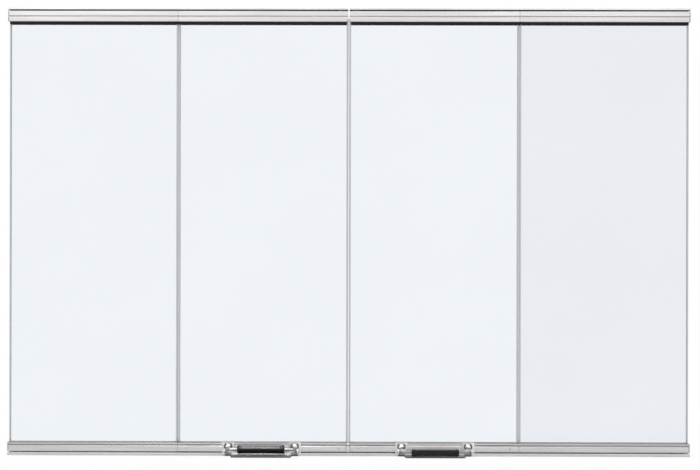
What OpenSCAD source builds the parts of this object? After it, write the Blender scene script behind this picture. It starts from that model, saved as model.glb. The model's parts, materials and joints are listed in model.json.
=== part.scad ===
// Bi-fold fireplace glass door set: two doors, each of two glass panels in metal rails.
// The origin is on the hearth, midway between the doors, in the plane of the glass.
// X runs along the opening, -Y faces the room and +Z is up.
// Each piece is drawn for the right-hand door; the left-hand one is its mirror image.

/* [Door set] */
// Overall width over both tracks
set_w = 914; // [700:1:1200]
// Overall height from the hearth to the top of the track
set_h = 600; // [450:1:800]
// Gap between the two doors where they meet
centre_gap = 1; // [1:0.1:4]
// Gap between the two panels of one door at the fold
fold_gap = 0.4; // [0.4:0.1:1.6]
// How far a track runs past the outer end of its door
track_overhang = 0.2; // [0.1:0.1:4]

/* [Glass] */
// Thickness of the tempered glass
glass_t = 5; // [4:0.5:5]
// Width of the ground arris along the glass edges
glass_arris = 0.6; // [0.2:0.1:1]

/* [Rails] */
// Depth of a rail from front to back
rail_depth = 15; // [15:0.5:17]
// Height of a top rail
top_rail_h = 14.6; // [13.2:0.2:20]
// Height of a bottom rail
bottom_rail_h = 12; // [11.6:0.2:20]
// How far a top rail and its track stop short of the glass edge where the doors meet
top_set_back = 0.4; // [0:0.1:1]
// Thickness of the cap on the outer end of a rail
end_cap_t = 1.9; // [1.6:0.1:3]
// Height of the black gasket that shows under a top rail
gasket_lip = 3.4; // [2:0.1:6]

/* [Tracks] */
// Width of the channel of each track
track_w = 14; // [13.6:0.2:14.4]
// Height of the top track
top_track_h = 3; // [3:0.1:3.4]
// Height of the sill channel
sill_h = 4.2; // [3.6:0.1:6]
// Gap between the top track and the top rail
top_run_gap = 1.1; // [0.8:0.1:1.5]
// Gap between the sill channel and the bottom rail
sill_run_gap = 1.4; // [1:0.1:3]
// Depth of the flange behind the top track
lintel_flange = 20; // [16:1:30]
// Distance of the outermost fixing holes from the end of a track
fixing_inset = 115; // [60:1:150]
// Diameter of the fixing holes
fixing_d = 4.6; // [3.4:0.1:6]

/* [Pivots and hinges] */
// Distance of the pivot and of the guide from the end of their panel
pivot_inset = 10; // [9:0.1:10.4]
// Diameter of the pivot pins
pivot_d = 4; // [3:0.5:5]
// Diameter of the guide plunger
guide_d = 9; // [8:0.5:9]
// How far the sprung pins retract
pin_travel = 2.5; // [2.4:0.1:2.8]
// How far the hinge line stands behind the rails
hinge_stand = 2.9; // [2.9:0.1:4]
// Diameter of the hinge knuckles
knuckle_d = 4.8; // [4.4:0.1:5]
// Length of a hinge leaf
leaf_l = 28; // [26:1:36]

/* [Handle] */
// How far the handle stands outside the middle of its panel
handle_shift = 1.4; // [-4:0.2:4]
// Width of the handle plate
plate_w = 105.6; // [104:0.2:120]
// Height of the handle plate
plate_h = 18; // [17:0.5:20]
// Width of the opening between the two ears of the plate, behind the grip
ear_gap = 73; // [68:1:76]
// Distance between the handle screws
handle_screw_pitch = 88.9; // [86:0.1:92]
// Width of the shelf under the grip
shelf_w = 80; // [70:1:84]
// Length of the grip
grip_l = 63; // [50:1:70]
// Height of the grip
grip_h = 8.7; // [7:0.1:8.8]
// Depth of the grip
grip_depth = 9; // [7:0.1:9]
// Angle at which the left-hand grip is drawn, above its stop
left_grip_up = 51; // [0:1:80]

/* [Hidden] */
$fn = 48;

// How far a cutting shape runs past the face that it opens
cut = 1;

steel = [0.80, 0.80, 0.79];
bright_steel = [0.90, 0.90, 0.89];
dark_steel = [0.48, 0.48, 0.48];
glass_tint = [0.86, 0.93, 0.95, 0.35];
black = [0.05, 0.05, 0.055];
nylon = [0.90, 0.89, 0.85];

// Panels, along X
half_w = set_w / 2;
inner_x0 = centre_gap / 2;
panel_w = (half_w - track_overhang - inner_x0 - fold_gap) / 2;
inner_x1 = inner_x0 + panel_w;
outer_x0 = inner_x1 + fold_gap;
outer_x1 = outer_x0 + panel_w;
outer_rail_x1 = outer_x1 - end_cap_t;
cap_skin = 0.8;
outer_glass_x1 = outer_x1 - cap_skin;
top_x0 = inner_x0 + top_set_back;
sill_x0 = 0.15;
end_plate_x0 = 0.25;
fold_x = (inner_x1 + outer_x0) / 2;
pivot_x = outer_x1 - pivot_inset;
guide_x = 2 * fold_x - pivot_x;
handle_x = (inner_x0 + inner_x1) / 2 + handle_shift;
fixing_pitch = 2 * (half_w - fixing_inset) / 3;
fixing_places = [fixing_pitch / 2, 3 * fixing_pitch / 2];

// Levels, along Z
bottom_rail_z = sill_h + sill_run_gap;
top_rail_top = set_h - top_track_h - top_run_gap;
top_rail_z = top_rail_top - top_rail_h;

// Rail section
rail_y = rail_depth / 2;
gasket_wall = 2;
gasket_base = 1.5;
gasket_drop = 1.4;
cap_play = 0.3;
slot_w = glass_t + 2 * gasket_wall;
bottom_web = 3;
skin_t = 1.2;
chamber_w = rail_depth - 2 * skin_t;
chamber_h = 6;
chamber_roof = 1;
chamber_floor = 1;
chamber_top = top_rail_top - chamber_roof;
chamber_z = chamber_top - chamber_h;
top_slot_d = top_rail_h - chamber_roof - chamber_h - chamber_floor;
bead = 0.5;
band_h = 6.8;
top_groove_w = 1.4;
groove_h = 1.4;
rib_h = 2.7;
plate_seam_in = 2.2;
plate_seam_w = 0.5;
plate_seam_d = 0.6;
arris = 0.6;
glass_z0 = bottom_rail_z + bottom_web + gasket_base;
glass_z1 = top_rail_z + top_slot_d - gasket_base;
corner_clip = 1.8;

// Track section
track_wall = 1.8;
track_web = 1.2;
channel_w = track_w - 2 * track_wall;
fixing_y = track_w / 2 + lintel_flange / 2;

// Pivots, guides and springs
running = 0.05;
socket_l = 20;
socket_inset = 1;
socket_gap = 0.2;
block_l = 18;
pin_end_gap = 0.3;
pin_top = set_h - track_web - pin_end_gap;
pin_foot = track_web + pin_end_gap;
collar_t = 1;
collar_over = 1.4;
guide_collar_over = 0.8;
block_play = 0.2;
tail_clear = 0.7;
pin_tail = chamber_h - collar_t - pin_travel - tail_clear;
guide_tail_d = guide_d - 2;
pivot_collar_d = pivot_d + 2 * collar_over;
guide_collar_d = guide_d + 2 * guide_collar_over;
spring_wire = 0.5;
spring_turns = 4;
spring_steps = 14;
wire_sides = 6;

// Hinges: a leaf outside the fold has the lowest and highest knuckles, one inside it the middle one
hinge_back = rail_y + hinge_stand;
hinge_pin_d = 2.4;
leaf_t = 1.2;
leaf_h = 10.4;
knuckle_h = 3.2;
knuckle_play = 0.2;
outer_knuckles = [0, leaf_h - knuckle_h];
inner_knuckles = [knuckle_h + knuckle_play];
leaf_start = 3;
tongue_start = 0.6;
hinge_screw_d = 3;
hinge_screw_head_d = 5.4;
hinge_screw_head_h = 0.9;
hinge_screw_at = [10, 22];
hinge_levels = [
    bottom_rail_z + (bottom_rail_h - leaf_h) / 2,
    top_rail_z + (top_rail_h - leaf_h) / 2
];

// Clamp screws
clamp_d = 4;
clamp_socket_d = 2;
clamp_socket_depth = 1.4;
clamp_end = 45;
clamp_bottom_z = bottom_rail_z + 8.2;
clamp_top_z = top_rail_z + 2.8;
front_pin_d = 2.6;
front_pin_proud = 0.35;
front_pin_in = 12.4;
front_pin_z = bottom_rail_z + 4.6;
front_pin_places = [inner_x0 + front_pin_in, inner_x1 - front_pin_in];

// Handle
plate_t = 1.5;
plate_front = -rail_y - plate_t;
plate_z = 0.6;
plate_r = 4;
shelf_top = 2.6;
ear_foot = 5;
ear_r = 2;
shelf_t = 1.2;
shelf_front = -25;
shelf_wing = 3;
shelf_clip = 3;
wing_clip = 2;
lip_z = 0.3;
lip_slope = 1.9;
screw_z = 12.8;
dish_r = 5.6;
dish_depth = 0.8;
dome_d = 7.4;
dome_h = 2.2;
handle_screw_d = 4;
lug_x = 49;
lug_t = 1.5;
lug_r = 3.4;
bail_y = -16;
bail_z = 7.3;
bail_reach = 4.4;
bail_stud_d = 3;
bail_end_x = 50.7;
bail_end_l = 2;
bail_arm_x = 46;
bail_bar_x = 42;
strap_t = 2.4;
strap_h = 3.6;
grip_chamfer = 1.6;

// ---- Helpers ----

// Turns a right-hand piece into the left-hand one
module left() {
    mirror([1, 0, 0]) children();
}

// Extrudes a section drawn in Y and Z along X, from x0 to x1
module along_x(x0, x1) {
    translate([x0, 0, 0]) rotate([90, 0, 90]) linear_extrude(x1 - x0) children();
}

// Extrudes a front view drawn in X and Z backwards along Y, from y0 to y1
module along_y(y0, y1) {
    translate([0, y1, 0]) rotate([90, 0, 0]) linear_extrude(y1 - y0) children();
}

// Extrudes a plan drawn in X and Y along Z, from z0 to z1
module along_z(z0, z1) {
    translate([0, 0, z0]) linear_extrude(z1 - z0) children();
}

// A rectangle given by its low and high corners
module span(lo, hi) {
    translate(lo) square(hi - lo);
}

// A rod along Y
module rod_y(x, z, y0, y1, d) {
    translate([x, y1, z]) rotate([90, 0, 0]) cylinder(h = y1 - y0, d = d);
}

// A rod along Z
module rod_z(x, y, z0, z1, d) {
    translate([x, y, z0]) cylinder(h = z1 - z0, d = d);
}

// A closed coil of round wire about the Z axis, between z0 and z1, as one swept tube
module coil(x, z0, z1, coil_d, wire_d, turns) {
    steps = spring_steps * turns;
    sides = wire_sides;
    wire_r = wire_d / 2;
    rise = (z1 - z0 - wire_d) / steps;
    points = [for (i = [0 : steps], j = [0 : sides - 1])
        let (turn = i * 360 / spring_steps, around = j * 360 / sides)
        let (r = coil_d / 2 - wire_r + wire_r * cos(around))
        [x + r * cos(turn), r * sin(turn), z0 + wire_r + i * rise + wire_r * sin(around)]];
    walls = [for (i = [0 : steps - 1], j = [0 : sides - 1])
        let (a = i * sides + j, b = i * sides + (j + 1) % sides)
        each [[a, a + sides, b], [b, a + sides, b + sides]]];
    start = [for (j = [1 : sides - 2]) [0, j, j + 1]];
    last = steps * sides;
    end = [for (j = [1 : sides - 2]) [last, last + j + 1, last + j]];
    polyhedron(points, concat(walls, start, end));
}

// ---- Tracks and sockets, fixed to the fireplace ----

module top_track() {
    y = track_w / 2;
    color(steel) difference() {
        along_x(top_x0, half_w) difference() {
            polygon([[-y, set_h], [-y, set_h - top_track_h + bead], [-y + bead, set_h - top_track_h],
                [y, set_h - top_track_h], [y, set_h - track_web], [y + lintel_flange, set_h - track_web],
                [y + lintel_flange, set_h]]);
            span([-channel_w / 2, set_h - top_track_h - cut], [channel_w / 2, set_h - track_web]);
        }
        for (x = fixing_places)
            rod_z(x, fixing_y, set_h - track_web - cut, set_h + cut, fixing_d);
    }
}

module sill_channel() {
    y = track_w / 2;
    color(steel) difference() {
        along_x(sill_x0, half_w) difference() {
            polygon([[-y, 0], [y, 0], [y, sill_h], [-y + bead, sill_h], [-y, sill_h - bead]]);
            span([-channel_w / 2, track_web], [channel_w / 2, sill_h + cut]);
        }
        for (x = fixing_places)
            rod_z(x, 0, -cut, track_web + cut, fixing_d);
    }
}

// A block in the channel of a track, from z0 to z1, with a bore for a pivot pin
module pivot_socket(z0, z1) {
    x1 = half_w - socket_inset;
    along_z(z0, z1) difference() {
        span([x1 - socket_l, -channel_w / 2], [x1, channel_w / 2]);
        translate([pivot_x, 0]) circle(d = pivot_d + 2 * running);
    }
}

module pivot_sockets() {
    color(nylon) {
        pivot_socket(track_web, sill_h - socket_gap);
        pivot_socket(set_h - top_track_h + socket_gap, set_h - track_web);
    }
}

// ---- Glass ----

module pane(x0, x1) {
    y = glass_t / 2;
    a = glass_arris;
    color(glass_tint) along_z(glass_z0, glass_z1)
        polygon([[x0 + a, -y], [x1 - a, -y], [x1, -y + a], [x1, y - a],
            [x1 - a, y], [x0 + a, y], [x0, y - a], [x0, -y + a]]);
}

module outer_glass() {
    pane(outer_x0, outer_glass_x1);
}

module inner_glass() {
    pane(inner_x0, inner_x1);
}

// ---- Rails ----

// Outline of a top rail: two flat bands with a narrow groove between them
module top_rail_outline() {
    y = rail_y;
    top = top_rail_top;
    band_2 = top - band_h - top_groove_w;
    polygon([[-y + bead, top], [-y, top - bead], [-y, top - band_h], [-y + bead, top - band_h - bead],
        [-y + bead, band_2 + bead], [-y, band_2], [-y, top_rail_z + arris], [-y + arris, top_rail_z],
        [y - arris, top_rail_z], [y, top_rail_z + arris], [y, top - bead], [y - bead, top]]);
}

// Outline of a bottom rail: one flat band under a groove and a rounded rib
module bottom_rail_outline() {
    y = rail_y;
    z = bottom_rail_z;
    top = z + bottom_rail_h;
    rib_foot = top - rib_h;
    band_top = rib_foot - groove_h;
    polygon([[-y + arris, z], [y - arris, z], [y, z + arris], [y, top - arris], [y - arris, top],
        [-y + 2 * bead, top], [-y + bead / 2, top - bead], [-y + bead / 2, rib_foot + bead],
        [-y + 3 * bead, rib_foot], [-y + 3 * bead, band_top], [-y + bead, band_top],
        [-y, band_top - bead], [-y, z + arris]]);
}

// A top rail from x0 to x1, with the slot for the glass and a chamber above it
module top_rail(x0, x1) {
    along_x(x0, x1) difference() {
        top_rail_outline();
        span([-slot_w / 2, top_rail_z - cut], [slot_w / 2, top_rail_z + top_slot_d]);
        span([-chamber_w / 2, chamber_z], [chamber_w / 2, chamber_top]);
    }
}

// A bottom rail from x0 to x1, with the slot for the glass
module bottom_rail(x0, x1) {
    along_x(x0, x1) difference() {
        bottom_rail_outline();
        span([-slot_w / 2, bottom_rail_z + bottom_web], [slot_w / 2, bottom_rail_z + bottom_rail_h + cut]);
    }
}

// Holes for the hinge screws in both rails of a panel; side is 1 outside the fold and -1 inside it
module hinge_screw_holes(side) {
    for (z = hinge_levels, at = hinge_screw_at)
        rod_y(fold_x + side * at, z + leaf_h / 2, rail_y - skin_t, rail_y + cut, hinge_screw_d);
}

// Holes for the clamp screws along a panel from x0 to x1, at the height z
module clamp_holes(x0, x1, z) {
    for (x = clamp_places(x0, x1))
        rod_y(x, z, slot_w / 2 - cut, rail_y + cut, clamp_d);
}

function clamp_places(x0, x1) = [x0 + clamp_end, (x0 + x1) / 2, x1 - clamp_end];

module outer_top_rail() {
    color(steel) difference() {
        top_rail(outer_x0, outer_rail_x1);
        rod_z(pivot_x, 0, chamber_top - cut, top_rail_top + cut, pivot_d + 2 * running);
        hinge_screw_holes(1);
        clamp_holes(outer_x0, outer_x1, clamp_top_z);
    }
}

// Front view of what is cut from the lower corner of a top rail, beside the other door
module centre_corner() {
    x = top_x0;
    z = top_rail_z;
    rise = 1.5 * corner_clip;
    polygon([[x - cut, z - cut], [x + corner_clip, z - cut], [x + corner_clip, z],
        [x, z + rise], [x - cut, z + rise]]);
}

module inner_top_rail() {
    color(steel) difference() {
        top_rail(top_x0, inner_x1);
        rod_z(guide_x, 0, chamber_top - cut, top_rail_top + cut, guide_d + 2 * running);
        hinge_screw_holes(-1);
        clamp_holes(inner_x0, inner_x1, clamp_top_z);
        along_y(-rail_y - cut, rail_y + cut) centre_corner();
    }
}

module outer_bottom_rail() {
    color(steel) difference() {
        bottom_rail(outer_x0, outer_rail_x1);
        rod_z(pivot_x, 0, bottom_rail_z - cut, bottom_rail_z + bottom_web + cut, pivot_d);
        hinge_screw_holes(1);
        clamp_holes(outer_x0, outer_x1, clamp_bottom_z);
    }
}

// A hole through the front wall of a bottom rail
module front_hole(x, z, d) {
    rod_y(x, z, -rail_y - cut, -slot_w / 2 + cut, d);
}

// The seam in the front face of a bottom rail beside the plate on its end, where the doors meet
module plate_seam() {
    x = end_plate_x0 + plate_seam_in;
    along_z(bottom_rail_z - cut, bottom_rail_z + bottom_rail_h + cut)
        span([x, -rail_y - cut], [x + plate_seam_w, -rail_y + plate_seam_d]);
}

module inner_bottom_rail() {
    color(steel) difference() {
        bottom_rail(end_plate_x0, inner_x1);
        plate_seam();
        hinge_screw_holes(-1);
        clamp_holes(inner_x0, inner_x1, clamp_bottom_z);
        for (side = [-1, 1])
            front_hole(handle_x + side * handle_screw_pitch / 2, screw_z, handle_screw_d);
        for (x = front_pin_places)
            front_hole(x, front_pin_z, front_pin_d);
    }
}

// ---- Gaskets ----

// U-shaped gaskets on the top and bottom edges of a pane; the top one shows under its rail, and the
// bottom one ends below the rim of its rail
module gaskets(top_x0, bottom_x0, x1) {
    y = slot_w / 2;
    in_y = glass_t / 2;
    top = glass_z1 + gasket_base;
    low = top_rail_z - gasket_lip;
    foot = glass_z0 - gasket_base;
    rim = bottom_rail_z + bottom_rail_h - gasket_drop;
    color(black) {
        along_x(top_x0, x1) polygon([[-y, top], [-y, low + bead], [-y + bead, low], [-in_y, low],
            [-in_y, glass_z1], [in_y, glass_z1], [in_y, low], [y - bead, low], [y, low + bead], [y, top]]);
        along_x(bottom_x0, x1) polygon([[-y, foot], [y, foot], [y, rim], [in_y, rim],
            [in_y, glass_z0], [-in_y, glass_z0], [-in_y, rim], [-y, rim]]);
    }
}

module outer_gaskets() {
    gaskets(outer_x0, outer_x0, outer_rail_x1);
}

module inner_gaskets() {
    gaskets(top_x0 + corner_clip, inner_x0, inner_x1);
}

// ---- End caps ----

// Plan of an end cap, with its two outer corners taken off
module end_cap_plan() {
    polygon([[outer_rail_x1, -rail_y], [outer_x1 - arris, -rail_y], [outer_x1, -rail_y + arris],
        [outer_x1, rail_y - arris], [outer_x1 - arris, rail_y], [outer_rail_x1, rail_y]]);
}

// Front view of an end cap between two levels, with its two outer corners taken off
module end_cap_face(z0, z1) {
    polygon([[outer_rail_x1, z0], [outer_x1 - arris, z0], [outer_x1, z0 + arris],
        [outer_x1, z1 - arris], [outer_x1 - arris, z1], [outer_rail_x1, z1]]);
}

// An end cap between two levels, with a notch from notch_z0 to notch_z1 that takes the end of the glass
module end_cap(z0, z1, notch_z0, notch_z1) {
    y = glass_t / 2 + cap_play;
    difference() {
        intersection() {
            along_z(z0, z1) end_cap_plan();
            along_y(-rail_y, rail_y) end_cap_face(z0, z1);
        }
        along_z(notch_z0, notch_z1) span([outer_rail_x1 - cut, -y], [outer_glass_x1 + cap_play, y]);
    }
}

module end_caps() {
    bottom_top = bottom_rail_z + bottom_rail_h;
    color(dark_steel) {
        end_cap(bottom_rail_z, bottom_top, glass_z0 - cap_play, bottom_top + cut);
        end_cap(top_rail_z, top_rail_top, top_rail_z - cut, glass_z1 + cap_play);
    }
}

// ---- Hinges ----

function knuckle_span(outside) = outside ? knuckle_h : leaf_h - 2 * (knuckle_h + knuckle_play);

// One hinge leaf at the height z; side is 1 outside the fold and -1 inside it
module hinge_leaf(z, side) {
    outside = side > 0;
    starts = outside ? outer_knuckles : inner_knuckles;
    h = knuckle_span(outside);
    bore = outside ? hinge_pin_d : hinge_pin_d + 2 * running;
    translate([fold_x, 0, z]) difference() {
        union() {
            along_z(0, leaf_h) span([min(side * leaf_start, side * leaf_l), rail_y],
                [max(side * leaf_start, side * leaf_l), rail_y + leaf_t]);
            for (start = starts) {
                along_z(start, start + h) span([min(side * tongue_start, side * leaf_start), rail_y],
                    [max(side * tongue_start, side * leaf_start), hinge_back]);
                rod_z(0, hinge_back, start, start + h, knuckle_d);
            }
        }
        rod_z(0, hinge_back, -cut, leaf_h + cut, bore);
        for (at = hinge_screw_at)
            rod_y(side * at, leaf_h / 2, rail_y - cut, rail_y + leaf_t + cut, hinge_screw_d);
    }
}

module outer_hinge_leaves() {
    color(steel) for (z = hinge_levels) hinge_leaf(z, 1);
}

module inner_hinge_leaves() {
    color(steel) for (z = hinge_levels) hinge_leaf(z, -1);
}

module hinge_pins() {
    color(bright_steel) for (z = hinge_levels)
        rod_z(fold_x, hinge_back, z, z + leaf_h, hinge_pin_d);
}

// Four pan-head screws that hold the two leaves of one panel
module hinge_screws(side) {
    back = rail_y + leaf_t;
    color(bright_steel) for (z = hinge_levels, at = hinge_screw_at) {
        rod_y(fold_x + side * at, z + leaf_h / 2, rail_y - skin_t, back, hinge_screw_d);
        rod_y(fold_x + side * at, z + leaf_h / 2, back, back + hinge_screw_head_h, hinge_screw_head_d);
    }
}

module outer_hinge_screws() {
    hinge_screws(1);
}

module inner_hinge_screws() {
    hinge_screws(-1);
}

// ---- Clamp screws ----

// One grub screw with a hexagon socket, through the back wall of a rail
module clamp_screw(x, z) {
    difference() {
        rod_y(x, z, slot_w / 2, rail_y, clamp_d);
        translate([x, rail_y + cut, z]) rotate([90, 0, 0])
            cylinder(h = cut + clamp_socket_depth, d = clamp_socket_d, $fn = 6);
    }
}

module clamp_screws(x0, x1) {
    for (x = clamp_places(x0, x1)) {
        clamp_screw(x, clamp_bottom_z);
        clamp_screw(x, clamp_top_z);
    }
}

module outer_clamp_screws() {
    color(dark_steel) clamp_screws(outer_x0, outer_x1);
}

// The inner panel also has two small pins that show on the front of its bottom rail
module inner_clamp_screws() {
    color(dark_steel) {
        clamp_screws(inner_x0, inner_x1);
        for (x = front_pin_places)
            rod_y(x, front_pin_z, -rail_y - front_pin_proud, -slot_w / 2, front_pin_d);
    }
}

// ---- Pivots and guides ----

module sill_pivot_pin() {
    color(bright_steel) rod_z(pivot_x, 0, pin_foot, bottom_rail_z + bottom_web, pivot_d);
}

// A block that fills the chamber of a top rail from x0 to x1 and houses a sprung pin at x
module pin_block(x0, x1, x, bore_d) {
    color(nylon) difference() {
        translate([x0, -chamber_w / 2, chamber_z]) cube([x1 - x0, chamber_w, chamber_h]);
        rod_z(x, 0, chamber_z - cut, chamber_top + cut, bore_d);
    }
}

module pivot_block() {
    pin_block(outer_rail_x1 - block_l, outer_rail_x1, pivot_x, pivot_collar_d + 2 * block_play);
}

module guide_block() {
    pin_block(top_x0, top_x0 + block_l, guide_x, guide_collar_d + 2 * block_play);
}

// A sprung pin at x with a collar under the roof of the chamber and a tail inside its spring
module sprung_pin(x, d, collar_d, tail_d) {
    under = chamber_top - collar_t;
    rod_z(x, 0, under, pin_top, d);
    rod_z(x, 0, under, chamber_top, collar_d);
    rod_z(x, 0, under - pin_tail, under, tail_d);
}

module top_pivot_pin() {
    color(bright_steel) sprung_pin(pivot_x, pivot_d, pivot_collar_d, pivot_d);
}

module guide_plunger() {
    color(nylon) sprung_pin(guide_x, guide_d, guide_collar_d, guide_tail_d);
}

module pivot_spring() {
    color(bright_steel)
        coil(pivot_x, chamber_z, chamber_top - collar_t, pivot_collar_d, spring_wire, spring_turns);
}

module guide_spring() {
    color(bright_steel)
        coil(guide_x, chamber_z, chamber_top - collar_t, guide_collar_d, spring_wire, spring_turns);
}

// ---- Handle ----

// Front view of the plate: two ears over a low middle, with rounded lower corners
module plate_face() {
    x = plate_w / 2;
    ear_x = ear_gap / 2;
    translate([handle_x, plate_z]) difference() {
        union() {
            span([-x, plate_r], [x, plate_h]);
            span([-x + plate_r, 0], [x - plate_r, plate_r]);
            for (side = [-1, 1])
                translate([side * (x - plate_r), plate_r]) circle(plate_r);
        }
        span([-ear_x, ear_foot + ear_r], [ear_x, plate_h + cut]);
        span([-ear_x + ear_r, ear_foot], [ear_x - ear_r, ear_foot + ear_r + cut]);
        for (side = [-1, 1])
            translate([side * (ear_x - ear_r), ear_foot + ear_r]) circle(ear_r);
    }
}

// Plan of the shelf: shallow wings beside a deep middle with clipped corners
module shelf_plan() {
    x = shelf_w / 2;
    wing_x = plate_w / 2 - plate_r;
    wing_y = plate_front - shelf_wing;
    front = shelf_front;
    a = wing_clip;
    b = shelf_clip;
    translate([handle_x, 0]) polygon([[-wing_x, plate_front], [-wing_x, wing_y], [-x - a, wing_y],
        [-x, wing_y - a], [-x, front + b], [-x + b, front], [x - b, front], [x, front + b],
        [x, wing_y - a], [x + a, wing_y], [wing_x, wing_y], [wing_x, plate_front]]);
}

// What the slope of the lip takes off along a front edge at y, from x0 to x1 of the handle
module lip_cut(x0, x1, y) {
    along_x(handle_x + x0, handle_x + x1)
        polygon([[y - cut, lip_z - cut], [y + lip_slope + cut, lip_z - cut],
            [y - cut, lip_z + lip_slope + cut]]);
}

// The shelf: its lip slopes back all along the front, and it is hollow below its deep middle
module shelf() {
    x = shelf_w / 2;
    wing_x = x + wing_clip;
    wing_y = plate_front - shelf_wing;
    hollow_in = lip_slope + shelf_t;
    difference() {
        along_z(lip_z, shelf_top) shelf_plan();
        lip_cut(-x, x, shelf_front);
        lip_cut(wing_x, plate_w / 2, wing_y);
        lip_cut(-plate_w / 2, -wing_x, wing_y);
        along_z(lip_z - cut, shelf_top - shelf_t)
            span([handle_x - x + hollow_in, shelf_front + hollow_in],
                [handle_x + x - hollow_in, plate_front]);
    }
}

// One lug that holds an end of the bail
module bail_lug(side) {
    x = handle_x + side * lug_x;
    along_x(x - lug_t / 2, x + lug_t / 2) difference() {
        union() {
            span([bail_y, bail_z - lug_r], [plate_front, bail_z + lug_r]);
            translate([bail_y, bail_z]) circle(lug_r);
        }
        translate([bail_y, bail_z]) circle(d = bail_stud_d + 2 * running);
    }
}

module handle_plate() {
    color(steel) difference() {
        union() {
            along_y(plate_front, -rail_y) plate_face();
            shelf();
            for (side = [-1, 1]) bail_lug(side);
        }
        for (side = [-1, 1]) {
            x = handle_x + side * handle_screw_pitch / 2;
            rod_y(x, screw_z, plate_front - cut, -rail_y + cut, handle_screw_d);
            translate([x, plate_front + dish_depth, screw_z]) rotate([90, 0, 0])
                cylinder(h = dish_depth, r1 = dome_d / 2, r2 = dish_r);
        }
    }
}

// Two dome-head screws, seated in the dishes of the plate
module handle_screws() {
    seat = plate_front + dish_depth;
    dome_r = (dome_h * dome_h + dome_d * dome_d / 4) / (2 * dome_h);
    color(bright_steel) for (side = [-1, 1]) {
        x = handle_x + side * handle_screw_pitch / 2;
        rod_y(x, screw_z, seat, -slot_w / 2, handle_screw_d);
        intersection() {
            translate([x, seat - dome_h + dome_r, screw_z]) sphere(dome_r);
            rod_y(x, screw_z, seat - dome_h - cut, seat, dome_d);
        }
    }
}

// Turns the bail and the grip up about the ends of the bail
module raised(angle) {
    translate([0, bail_y, bail_z]) rotate([-angle, 0, 0]) translate([0, -bail_y, -bail_z]) children();
}

// Plan of the bail: a strap with two slanted arms, drawn from its middle line
module bail_plan() {
    h = strap_t / 2;
    bar_y = bail_y - bail_reach;
    rear = bail_y + bail_end_l;
    bend = bail_y - bail_end_l;
    difference() {
        polygon([[-bail_arm_x - h, rear], [-bail_arm_x - h, bend], [-bail_bar_x - h, bar_y - h],
            [bail_bar_x + h, bar_y - h], [bail_arm_x + h, bend], [bail_arm_x + h, rear]]);
        polygon([[-bail_arm_x + h, rear + cut], [-bail_arm_x + h, bend + h / 2],
            [-bail_bar_x + h, bar_y + h], [bail_bar_x - h, bar_y + h],
            [bail_arm_x - h, bend + h / 2], [bail_arm_x - h, rear + cut]]);
    }
}

// The bail: the strap, and two round studs that turn in the lugs
module bail(angle) {
    color(bright_steel) raised(angle) translate([handle_x, 0, 0]) {
        along_z(bail_z - strap_h / 2, bail_z + strap_h / 2) bail_plan();
        for (side = [-1, 1])
            translate([side * bail_arm_x, bail_y, bail_z]) rotate([0, side * 90, 0])
                cylinder(h = bail_end_x - bail_arm_x, d = bail_stud_d);
    }
}

// A rectangle about the origin with its corners taken off
module clipped_rect(w, h, clip) {
    x = w / 2;
    y = h / 2;
    polygon([[-x + clip, -y], [x - clip, -y], [x, -y + clip], [x, y - clip],
        [x - clip, y], [-x + clip, y], [-x, y - clip], [-x, -y + clip]]);
}

// The grip: a black bar with its ends and long edges chamfered, on the bar of the bail
module grip(angle) {
    color(black) raised(angle) translate([handle_x, bail_y - bail_reach, bail_z]) difference() {
        intersection() {
            along_x(-grip_l / 2, grip_l / 2) clipped_rect(grip_depth, grip_h, grip_chamfer / 2);
            along_y(-grip_depth, grip_depth) clipped_rect(grip_l, grip_h, grip_chamfer);
            along_z(-grip_h, grip_h) clipped_rect(grip_l, grip_depth, grip_chamfer);
        }
        along_x(-grip_l, grip_l) square([strap_t, strap_h], center = true);
    }
}

// ---- Nodes ----

left() top_track();  // left_top_track
top_track();  // right_top_track
left() sill_channel();  // left_sill_channel
sill_channel();  // right_sill_channel
left() pivot_sockets();  // left_pivot_sockets
pivot_sockets();  // right_pivot_sockets
left() outer_glass();  // left_outer_glass
left() outer_top_rail();  // left_outer_top_rail
left() outer_bottom_rail();  // left_outer_bottom_rail
left() outer_gaskets();  // left_outer_gaskets
left() end_caps();  // left_end_caps
left() outer_hinge_leaves();  // left_outer_hinge_leaves
left() hinge_pins();  // left_hinge_pins
left() outer_hinge_screws();  // left_outer_hinge_screws
left() outer_clamp_screws();  // left_outer_clamp_screws
left() sill_pivot_pin();  // left_sill_pivot_pin
left() pivot_block();  // left_pivot_block
left() pivot_spring();  // left_pivot_spring
left() top_pivot_pin();  // left_top_pivot_pin
left() inner_glass();  // left_inner_glass
left() inner_top_rail();  // left_inner_top_rail
left() inner_bottom_rail();  // left_inner_bottom_rail
left() inner_gaskets();  // left_inner_gaskets
left() inner_hinge_leaves();  // left_inner_hinge_leaves
left() inner_hinge_screws();  // left_inner_hinge_screws
left() inner_clamp_screws();  // left_inner_clamp_screws
left() guide_block();  // left_guide_block
left() guide_spring();  // left_guide_spring
left() handle_plate();  // left_handle_plate
left() handle_screws();  // left_handle_screws
left() guide_plunger();  // left_guide_plunger
left() bail(left_grip_up);  // left_bail
left() grip(left_grip_up);  // left_grip
outer_glass();  // right_outer_glass
outer_top_rail();  // right_outer_top_rail
outer_bottom_rail();  // right_outer_bottom_rail
outer_gaskets();  // right_outer_gaskets
end_caps();  // right_end_caps
outer_hinge_leaves();  // right_outer_hinge_leaves
hinge_pins();  // right_hinge_pins
outer_hinge_screws();  // right_outer_hinge_screws
outer_clamp_screws();  // right_outer_clamp_screws
sill_pivot_pin();  // right_sill_pivot_pin
pivot_block();  // right_pivot_block
pivot_spring();  // right_pivot_spring
top_pivot_pin();  // right_top_pivot_pin
inner_glass();  // right_inner_glass
inner_top_rail();  // right_inner_top_rail
inner_bottom_rail();  // right_inner_bottom_rail
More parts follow.
